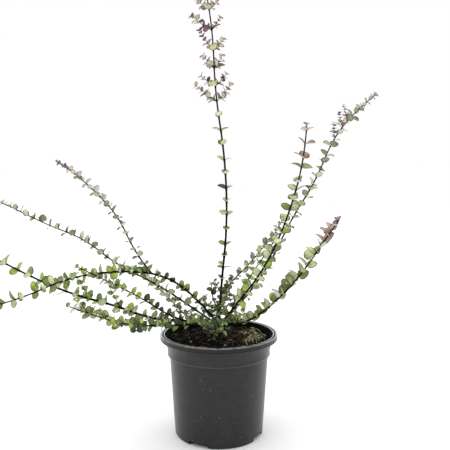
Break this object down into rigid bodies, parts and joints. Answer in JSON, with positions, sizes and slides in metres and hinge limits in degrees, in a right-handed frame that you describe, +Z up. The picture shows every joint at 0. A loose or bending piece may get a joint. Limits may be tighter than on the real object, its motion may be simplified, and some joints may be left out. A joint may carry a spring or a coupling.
{
  "type": "potted red tips box honeysuckle",
  "caption": "Young box honeysuckle shrub with an upright leader and long arching canes of small paired leaves, purple at their tips, standing in a round black nursery pot filled with soil.",
  "frame": {"origin": "middle of the pot's flat underside", "axes": "+Z up along the pot's axis; the picture looks along +Y, with +X to the right"},
  "size_m": [0.6921, 0.3934, 0.6486],
  "materials": {
    "pot_plastic": "satin black, with fine scuffs",
    "potting_soil": "moist, crumbly potting soil with bark chips and fibres",
    "bark": "dark purple-brown young bark",
    "foliage": "small satin leaves, green with paler undersides, purple at the tips"
  },
  "bodies": {
    "root": {"centre_back_foliage": "foliage", "centre_back_limb": "bark", "centre_front_foliage": "foliage", "centre_front_limb": "bark", "centre_left_foliage": "foliage", "leader_foliage": "foliage", "leader_limb": "bark", "left_arch_foliage": "foliage", "left_arch_limb": "bark", "left_back_foliage": "foliage", "left_front_foliage": "foliage", "left_long_foliage": "foliage", "left_long_limb": "bark", "left_low_foliage": "foliage", "left_low_limb": "bark", "left_rising_foliage": "foliage", "left_rising_limb": "bark", "left_tall_foliage": "foliage", "pot": "pot_plastic", "right_back_foliage": "foliage", "right_long_foliage": "foliage", "right_long_limb": "bark", "right_low_foliage": "foliage", "right_low_limb": "bark", "right_mid_foliage": "foliage", "right_tall_foliage": "foliage", "right_tall_limb": "bark", "soil": "potting_soil", "stock": "bark"}
  },
  "joints": []
}
